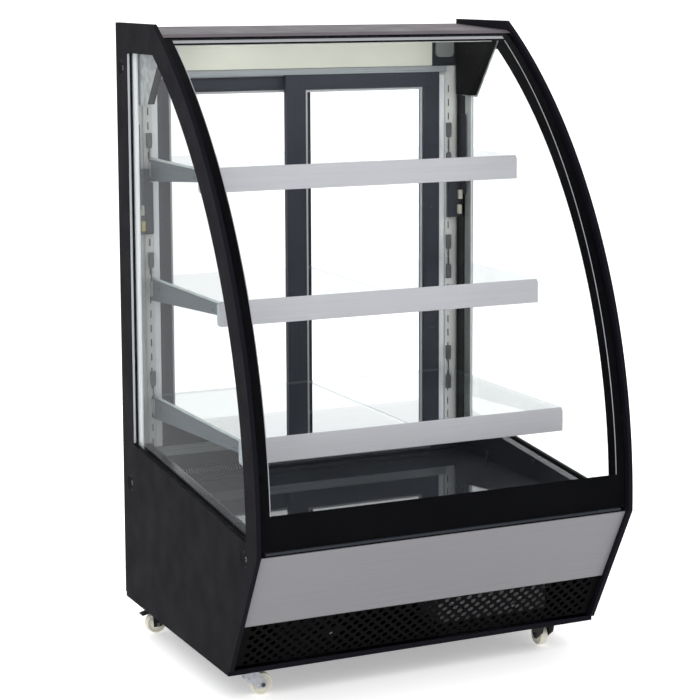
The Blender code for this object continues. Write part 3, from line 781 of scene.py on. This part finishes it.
# ---- sliding doors ----
def doors():
    low, high = 0.3555, 1.2425
    pane_low, pane_high = 0.412, 1.2035
    for side in ("left", "right"):
        body = BODY[f"door_frame_{side}"]
        near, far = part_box(f"door_frame_{side}")
        pane_near, pane_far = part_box(f"door_glass_{side}")
        back = BACK_Y - far.y
        ahead = BACK_Y - near.y
        x0, x1 = near.x, far.x
        a, b = pane_near.x - GAP, pane_far.x + GAP
        opening = rect(a, b, pane_low, pane_high)
        body_frame = prism(f"door_rim_{side}", [rect(x0, x1, low, high), opening], front, back, ahead)
        pull_x = x0 + 0.015 if side == "left" else x1 - 0.030
        grip = soft_rect(pull_x, pull_x + 0.016, 0.74, 0.86, 0.007)
        pull = prism("pull", [grip], front, back - 0.001, back + 0.009)
        cut(body_frame, [pull])
        place(soften(body_frame, 0.0008), body, SLATE, "slate_frame", f"door_frame_{side}")
        pane_d = (BACK_Y - pane_far.y, BACK_Y - pane_near.y)
        pane_h = (pane_low + GAP, pane_high - GAP)
        pane = block(f"door_pane_{side}", (a + GAP, b - GAP), pane_d, pane_h)
        place(pane, body, GLASS, "clear_glass", f"door_glass_{side}")
        loops = [rect(a + e, b - e, pane_low + e, pane_high - e) for e in (0.0002, 0.0060)]
        bead = [
            prism("bead", loops, front, pane_d[0] - 0.0030, pane_d[0] - 0.0002),
            prism("bead", loops, front, pane_d[1] + 0.0002, pane_d[1] + 0.0030),
        ]
        place(soften(join(f"glazing_bead_{side}", bead), 0.0008), body, BEAD, "aluminium")
        for k, h in enumerate((0.385, 0.905, 1.222)):
            x = x1 - 0.022 if side == "right" else x0 + 0.022
            seat = at(ahead - 0.0008, h, x)
            screw(f"door_screw_{side}_{k + 1}", seat, FORWARD, 0.0026, 0.0012, body=body)


# ---- tub, deck, air slots ----
def lower_well():
    dress("insulated_tub", "tub_shell", 0.0008, 2, LINER, "foam_tub")
    reach = 0.4058
    deck = block("deck_sheet", (-reach, reach), (0.0790, 0.7915), (0.290, DECK_TOP))
    fix(soften(deck, 0.0010, 2), DECK, "deck_gloss", "deck_panel")
    riser = [(0.0600, 0.3440), (0.0620, 0.3440), (0.0620, 0.3152), (0.0600, 0.3152)]
    upright = prism("air_riser", [riser], at, -reach, reach)
    fix(soften(upright, 0.0004), LINER, "deck_gloss")
    low, top = (0.0785, 0.2950), (0.0606, 0.3150)
    run = math.dist(low, top)
    ahead = ((low[0] - top[0]) / run, (low[1] - top[1]) / run)

    def sloping(x, along, inset):
        d = top[0] + ahead[0] * along + ahead[1] * inset
        return at(d, top[1] + ahead[1] * along - ahead[0] * inset, x)

    slots = []
    for k in range(101):
        x = -0.372 + 0.007 * k
        slots.append([(x, run - 0.006), (x + 0.0030, run - 0.006), (x + 0.0006, 0.006), (x - 0.0024, 0.006)])
    # A light metal sheet under the slanted slots: a painted highlight that shows through them.
    highlight_lining = prism("slot_highlight_lining", [rect(-0.4050, 0.4050, 0.004, run - 0.004)], sloping, 0.0030, 0.0038)
    fix(highlight_lining, BEAD, "aluminium")
    strip = prism("air_slots", [rect(-reach, reach, 0.0, run)] + slots, sloping, 0.0, 0.0012)
    fix(strip, LINER, "deck_gloss", "air_grille")


# ---- lower front ----
def fascia():
    skin = [(0.010, 0.0100), (0.206, 0.0100), (0.206, 0.0128), (0.010, 0.0128)]
    sheet = prism("steel_fascia", [[on_slope(s, t) for s, t in skin]], at, -INNER, INNER)
    fix(soften(sheet, 0.0011, 3), STEEL, "brushed_steel", "steel_panel")
    holes = []
    for row in range(9):
        along = 0.2165 + 0.01305 * row
        radius = 0.0052 if row == 8 else 0.0064
        shift = 0.0135 if row % 2 else 0.0
        for k in range(31):
            x = -0.4115 + 0.027 * k + shift
            holes.append(ring(x, along if row < 8 else 0.3175, radius, 16))
    screw_x, screw_s = -0.224, 0.263
    holes = [h for h in holes if abs(h[0][0] - 0.006 - screw_x) > 0.016 or abs(h[0][1] - screw_s) > 0.012]
    plate = prism("grille_sheet", [rect(-INNER, INNER, 0.2065, 0.325)] + holes, slope_place, 0.0120, 0.0135)
    fix(plate, MATT_BLACK, "black_plastic", "lower_grille")
    outward = Matrix.Rotation(math.atan2(SLOPE[0], SLOPE[1]) + math.radians(-90), 3, "X")
    for k, x in enumerate((-0.224, 0.224)):
        screw(f"grille_screw_{k + 1}", slope_place(x, screw_s, 0.0122), outward, 0.0034, 0.0016)
    dress("base_pan", "base_tray", 0.0006, 2, POWDER, "black_panel")


# ---- shelves ----
def edge_glass(pane):
    """Gives the cut edges of a pane their own grey green."""
    pane.data.materials.append(GLASS_EDGE)
    for face in pane.data.polygons:
        if abs(face.normal.z) < 0.5:
            face.material_index = 1
    return pane


def shelves():
    for index, (top, rail_d) in enumerate(SHELVES, start=1):
        rest = top - 0.0063
        corner = 0.009
        outline = [(-RAIL_X, top - RAIL_H), (RAIL_X, top - RAIL_H)]
        for sign, start in ((1, 0), (-1, 90)):
            outline += arc(sign * (RAIL_X - corner), top - corner, corner, start, start + 90, 8)
        face = prism(f"rail_face_{index}", [outline], front, rail_d - 0.0030, rail_d)
        fix(soften(face, 0.0012, 3, 25), RAIL, "shelf_rail", f"shelf_rail_{index}")
        foot = top - RAIL_H
        tray = [
            (rail_d - 0.0030, rest), (rail_d - 0.021, rest), (rail_d - 0.021, rest - 0.014),
            (rail_d - 0.0195, rest - 0.014), (rail_d - 0.0195, rest - 0.0015),
            (rail_d - 0.0045, rest - 0.0015), (rail_d - 0.0045, foot + 0.0015),
            (rail_d - 0.014, foot + 0.0015), (rail_d - 0.014, foot), (rail_d - 0.0031, foot),
        ]
        fold = prism(f"rail_fold_{index}", [tray], at, -RAIL_X + 0.002, RAIL_X - 0.002)
        fix(soften(fold, 0.0004, 1), RAIL, "shelf_rail")
        back = rail_d - 0.021
        low = top - 0.0545
        radius = 0.010
        outline = arc(back + radius, low + radius, radius, 180, 270, 6)
        outline += [(rail_d - 0.0031, low), (rail_d - 0.0031, top - 0.0065), (back, top - 0.0065)]
        ends = [prism("end", [outline], at, sign * 0.3925, sign * RAIL_X) for sign in (-1, 1)]
        fix(soften(join(f"rail_ends_{index}", ends), 0.0004, 1), RAIL_END, "shelf_rail")
        lamp_d = (rail_d - 0.0180, rail_d - 0.0060)
        lamp = block(f"shelf_lamp_{index}", (-0.370, 0.370), lamp_d, (rest - 0.0115, rest - 0.0018))
        fix(soften(lamp, 0.0030, 4), DIFFUSER, "cream_liner")
        for side, sign in SIDES:
            shelf_arm(index, side, sign, rest, rail_d - 0.0213)
            x = (sign * 0.0008, sign * (RAIL_X - 0.001))
            pane = block(f"shelf_pane_{index}_{side}", x, (PANE_BACK, rail_d - 0.0035), (top - 0.006, top))
            fix(pane, SHELF_GLASS, "clear_glass", f"shelf_glass_{index}_{side}")
            edge_glass(soften(pane, 0.0006, 2))


def shelf_arm(index, side, sign, rest, nose):
    """A tapered bracket: web, top flange, hook plate and two rivets."""
    back = STANDARD_D + GAP
    inner = sign * (ARM_X - 0.0022)
    outer = sign * (ARM_X + 0.0002)
    taper = [(back, rest - 0.052), (back, rest), (nose, rest), (nose, rest - 0.026)]
    web = prism("web", [taper], at, sign * ARM_X, inner)
    top = rect(back + 0.010, nose, rest - 0.0020, rest)
    flange = prism("flange", [top], at, inner, sign * (ARM_X - 0.014))
    arm = soften(join(f"arm_{index}_{side}", [web, flange]), 0.0006)
    fix(arm, ARM, "arm_steel", f"shelf_arm_{index}_{side}")
    start = back + 0.0001
    inside = sign * (ARM_X - 0.0062)
    hook = block("hook", (outer, inside), (start, back + 0.0035), (rest - 0.046, rest - 0.010))
    tab = block("tab", (outer, sign * (ARM_X + 0.0020)), (start, back + 0.0140), (rest - 0.040, rest - 0.006))
    plate = soften(join(f"arm_hook_{index}_{side}", [hook, tab]), 0.0005)
    fix(plate, ALUMINIUM, "aluminium")
    turn = sideways(sign)
    rivet = [(0, -0.0004), (0.0034, -0.0004), (0.0032, 0.0008), (0.0018, 0.0015), (0, 0.0017)]
    for k, d in enumerate((back + 0.058, nose - 0.030)):
        seat = at(d, rest - 0.018, sign * ARM_X)
        head = revolve(f"arm_rivet_{index}_{side}_{k + 1}", rivet, seat, turn, 20)
        fix(soften(head, 0), SCREW, "zinc")


def lamp_leads():
    """Sockets on the standards that feed the shelf lamps, and the junction boxes by the side glass."""
    plug_outline = [
        (-0.0065, 0.036), (0.0065, 0.036), (0.0065, 0.008), (0.0048, 0.0), (-0.0048, 0.0), (-0.0065, 0.008),
    ]
    cover_outline = [
        (0.3865, 0.877), (0.4215, 0.877), (0.4215, 1.030), (0.3950, 1.030), (0.3950, 0.9985),
        (0.3865, 0.9985),
    ]
    for side, sign in SIDES:
        x0 = sign * 0.3917
        for index, (top, _) in enumerate(SHELVES, start=1):
            low = top + 0.019
            outline = [(x0 + u, low + v) for u, v in plug_outline]
            plug = prism(f"lamp_plug_{index}_{side}", [outline], front, 0.0511, 0.0580)
            fix(soften(plug, 0.0010, 2), GREY_PLASTIC, "black_plastic")
            route = [at(0.0545, low + 0.002, x0), at(0.0550, low - 0.014, x0), at(0.0545, low - 0.034, x0)]
            lead = tube(f"lamp_lead_{index}_{side}", route, 0.0016, 10)
            fix(soften(lead, 0), GREY_PLASTIC, "black_plastic")
        cover = prism(f"junction_cover_{side}", [cover_outline], mirrored(sign), 0.0512, 0.0640)
        fix(soften(cover, 0.0020, 3), SLATE, "black_plastic")
        ribs = [block("rib", (sign * 0.4235, sign * 0.4250), (0.0615, 0.0830), (0.936, 1.135))]
        for k in range(6):
            d = 0.0625 + 0.0036 * k
            ribs.append(block("rib", (sign * 0.4225, sign * 0.4236), (d, d + 0.0018), (0.937, 1.134)))
        duct = join(f"lead_duct_{side}", ribs)
        fix(soften(duct, 0.0003, 1), SLATE, "black_plastic")
        lower_tone = YELLOW if sign < 0 else BEIGE
        for k, (x, h, tone) in enumerate(((0.4170, 0.934, BEIGE), (0.4150, 0.897, lower_tone))):
            width = (sign * (x - 0.0050), sign * (x + 0.0045))
            plug = block(f"connector_{side}_{k + 1}", width, (0.0642, 0.0730), (h - 0.011, h + 0.012))
            fix(soften(plug, 0.0010, 2), tone, "cream_liner")


# ---- machine space ----
def machine():
    dress("compressor", "compressor_shell", 0.0012, 2, PUMP, "compressor_black")
    weld = [(0.0875, 0.086), (0.0905, 0.087), (0.0905, 0.091), (0.0875, 0.092)]
    seam = revolve("compressor_seam", weld, at(0.215, 0.0, -0.235), UPRIGHT, 64)
    fix(soften(seam, 0), PUMP, "compressor_black")
    dress("condenser", "condenser_unit", 0.0008, 2, GALVANISED, "coil_fins")
    low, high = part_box("condenser")
    fins = []
    count = 60
    fin_d = (BACK_Y - low.y + 0.0003, BACK_Y - low.y + 0.0090)
    for k in range(count):
        x = low.x + 0.010 + (high.x - low.x - 0.020) * k / (count - 1)
        fins.append(block("fin", (x - 0.0003, x + 0.0003), fin_d, (0.0075, 0.1900)))
    fix(join("condenser_fins", fins), FINS, "coil_fins")
    dress("evaporator", "evaporator_unit", 0.0006, 2, FINS, "coil_fins")
    for node in ("condenser_fan", "evaporator_fan"):
        dress(node, node.replace("fan", "rotor"), 0.0003, 1, PLASTIC, "black_plastic")
    pipes = {
        "pipe_discharge": (0.0038, [
            (0.275, 0.110, -0.200), (0.330, 0.118, -0.180), (0.400, 0.120, -0.080), (0.470, 0.140, 0.010),
            (0.520, 0.150, 0.0485),
        ]),
        "pipe_liquid": (0.0038, [
            (0.520, 0.040, 0.0485), (0.480, 0.034, 0.010), (0.420, 0.030, -0.060), (0.330, 0.030, -0.100),
            (0.300, 0.060, -0.110),
        ]),
        "pipe_suction": (0.0050, [
            (0.150, 0.120, -0.200), (0.110, 0.140, -0.170), (0.105, 0.170, -0.130), (0.110, 0.1985, -0.120),
        ]),
    }
    for name, (radius, route) in pipes.items():
        pipe = tube(name, [at(*point) for point in route], radius, 14)
        fix(soften(pipe, 0), COPPER, "coil_fins")


def back_panel():
    dress("service_panel", "service_sheet", 0.0004, 1, POWDER, "black_panel")
    screws = [(x, h) for h in (0.185, 0.026) for x in (-0.425, 0.0, 0.425)]
    for k, (x, h) in enumerate(screws):
        screw(f"service_screw_{k + 1}", at(0.0120, h, x), BACKWARD, 0.0038, 0.0018, 10 * k)
    dress("controller", "controller_case", 0.0014, 3, PLASTIC, "black_plastic")
    window = prism("controller_window", [soft_rect(0.310, 0.350, 0.160, 0.181, 0.002)], front, 0.0052, 0.0059)
    fix(soften(window, 0.0002, 1), FRIT, "black_plastic")
    for k in range(3):
        rise = 0.0085 * k
        outline = soft_rect(0.3570, 0.3690, 0.158 + rise, 0.164 + rise, 0.0015)
        key = prism(f"controller_key_{k + 1}", [outline], front, 0.0048, 0.0059)
        fix(soften(key, 0.0003, 2), GREY_PLASTIC, "black_plastic")
    dress("light_switch", "switch_rocker", 0.0008, 3, PLASTIC, "black_plastic")
    loops = [soft_rect(0.2555, 0.2845, 0.1515, 0.1885, 0.003), rect(0.2589, 0.2811, 0.1549, 0.1851)]
    bezel = prism("switch_bezel", loops, front, 0.0098, 0.0119)
    fix(soften(bezel, 0.0005, 2), PLASTIC, "black_plastic")


# ---- casters ----
CASTERS = {
    "front_left": (ZINC, False),
    "front_right": (PUMP, True),
    "rear_left": (PUMP, True),
    "rear_right": (ZINC, False),
}
WHEEL_R = 0.0248


def casters():
    half = [
        (0.0247, 0.0050), (0.0240, 0.0084), (0.0222, 0.0096), (0.0200, 0.0090), (0.0186, 0.0070),
        (0.0112, 0.0072), (0.0098, 0.0092), (0.0085, 0.0100), (0.0041, 0.0100),
    ]
    tread = [(radius, -across) for radius, across in half[::-1]] + [(WHEEL_R, 0.0)] + half
    hexagon = [(0, 0.0150), (0.0052, 0.0150), (0.0052, 0.0182), (0.0042, 0.0190), (0, 0.0190)]
    race_profile = [
        (0.0165, -0.0040), (0.0235, -0.0040), (0.0242, -0.0030), (0.0235, -0.0012), (0.0165, -0.0006),
    ]
    plate = [soft_rect(-0.0318, 0.0318, -0.0258, 0.0258, 0.004)]
    for name, (metal, braked) in CASTERS.items():
        fork = f"caster_fork_{name}"
        wheel = f"caster_wheel_{name}"
        roll = JOINT[f"caster_roll_{name}"]
        swivel = JOINT[f"caster_swivel_{name}"]
        hub = Vector(roll["pos_m"])
        axis = Vector(roll["axis"]).normalized()
        king = Vector(swivel["pos_m"])
        turn = Vector((0, 0, 1)).rotation_difference(axis).to_matrix()
        dress(fork, f"fork_{name}", 0.0007, 2, metal, "zinc")
        tyre = revolve(f"wheel_{name}", tread, hub, turn, 72)
        place(soften(tyre, 0, angle=24), BODY[wheel], NYLON, "wheel_nylon", wheel)
        for k, sign in enumerate((-1, 1)):
            nut = revolve(f"axle_nut_{name}_{k + 1}", hexagon, (0, 0, 0), UPRIGHT, 6)
            face = turn if sign > 0 else turn @ Matrix.Rotation(math.pi, 3, "X")
            nut.data.transform(Matrix.Translation(hub) @ face.to_4x4())
            place(soften(nut, 0.0004, 2), BODY[fork], SCREW, "zinc")
        race = revolve(f"race_cap_{name}", race_profile, king, UPRIGHT, 56)
        place(soften(race, 0.0003), BODY[fork], metal, "zinc")
        base = prism(f"caster_plate_{name}", plate, as_drawn, 0.0004, 0.0032)
        base.data.transform(Matrix.Translation(king))
        fix(soften(base, 0.0005), metal, "zinc")
        if braked:
            dress(f"brake_pedal_{name}", f"pedal_{name}", 0.0010, 3, PLASTIC, "compressor_black")


side_panels()
side_windows()
front_pane()
roof()
gussets()
posts()
tracks()
doors()
lower_well()
fascia()
shelves()
lamp_leads()
machine()
back_panel()
casters()


# ---- studio ----
ROOM_LIGHT = 1.12


def floor():
    """A wide pale sheet under the case, which glows a little so that the shadows on it stay light."""
    reach = 160.0
    corners = [(-reach, -reach, 0), (reach, -reach, 0), (reach, reach, 0), (-reach, reach, 0)]
    sheet = shape("floor", corners, [(0, 1, 2, 3)])
    paint = Paint("floor", (0.96, 0.96, 0.96), 0.75, specular=0.05)
    paint.tint(paint.noise(2.0), 0.006)
    paint.set("Emission Color", (1.0, 1.0, 1.0, 1.0))
    paint.set("Emission Strength", 0.35)
    sheet.data.materials.append(paint.material)
    sheet.visible_glossy = False


def soft_light(name, where, target, size, power):
    lamp = bpy.data.lights.new(name, "AREA")
    lamp.shape = "RECTANGLE"
    lamp.size, lamp.size_y = size
    lamp.energy = power
    obj = bpy.data.objects.new(name, lamp)
    obj.location = where
    obj.rotation_euler = (Vector(target) - Vector(where)).to_track_quat("-Z", "Y").to_euler()
    obj.visible_camera = False
    obj.visible_glossy = False
    bpy.context.scene.collection.objects.link(obj)


def surroundings():
    """An even white room, which reflections see bright behind, and dim ahead, at the left and overhead."""
    world = bpy.data.worlds.new("studio")
    world.use_nodes = True
    bpy.context.scene.world = world
    tree = world.node_tree

    def node(kind, **settings):
        made = tree.nodes.new(kind)
        for key, value in settings.items():
            setattr(made, key, value)
        return made

    def slope(source, start, end, low, high):
        ramp = node("ShaderNodeMapRange")
        for socket, value in (("From Min", start), ("From Max", end), ("To Min", low), ("To Max", high)):
            ramp.inputs[socket].default_value = value
        tree.links.new(source, ramp.inputs["Value"])
        return ramp.outputs["Result"]

    room = tree.nodes["Background"]
    room.inputs["Color"].default_value = (1, 1, 1, 1)
    room.inputs["Strength"].default_value = ROOM_LIGHT
    mirrored = node("ShaderNodeBackground")
    split = node("ShaderNodeSeparateXYZ")
    tree.links.new(node("ShaderNodeTexCoord").outputs["Generated"], split.inputs["Vector"])
    product = node("ShaderNodeMath", operation="MULTIPLY")
    tree.links.new(slope(split.outputs["Y"], -0.50, 0.85, 0.10, 1.5), product.inputs[0])
    tree.links.new(slope(split.outputs["X"], -0.40, 0.20, 0.22, 1.0), product.inputs[1])
    shaded = node("ShaderNodeMath", operation="MULTIPLY")
    tree.links.new(product.outputs["Value"], shaded.inputs[0])
    tree.links.new(slope(split.outputs["Z"], 0.25, 0.85, 1.0, 0.40), shaded.inputs[1])
    tree.links.new(shaded.outputs["Value"], mirrored.inputs["Strength"])
    mix = node("ShaderNodeMixShader")
    tree.links.new(node("ShaderNodeLightPath").outputs["Is Glossy Ray"], mix.inputs["Fac"])
    tree.links.new(room.outputs["Background"], mix.inputs[1])
    tree.links.new(mirrored.outputs["Background"], mix.inputs[2])
    tree.links.new(mix.outputs["Shader"], tree.nodes["World Output"].inputs["Surface"])


def camera():
    """Seen from the front left, a little above the shelves, through a long lens."""
    yaw = math.radians(26.53)
    pitch = math.radians(7.563)
    lens = bpy.data.cameras.new("camera")
    lens.sensor_width = 36.0
    lens.lens = 109.04
    lens.shift_x = -0.0935
    lens.shift_y = -0.1325
    lens.clip_end = 1000.0
    obj = bpy.data.objects.new("camera", lens)
    obj.location = (-2.0337, -4.3110, 1.5466)
    obj.rotation_euler = (math.pi / 2 - pitch, 0.0, -yaw)
    bpy.context.scene.collection.objects.link(obj)
    bpy.context.scene.camera = obj


floor()
surroundings()
camera()
middle = (0.0, 0.0, 0.7)
soft_light("key", (-2.6, -3.2, 3.6), middle, (2.6, 2.0), 60)
soft_light("fill", (3.2, -2.2, 2.2), middle, (2.4, 2.4), 20)
soft_light("rear", (0.4, 3.4, 2.6), middle, (3.0, 2.0), 40)
soft_light("canopy", at(0.235, 1.300, 0.0), at(0.050, 1.270, 0.0), (0.80, 0.02), 0.4)
bpy.context.scene.view_settings.view_transform = "Standard"
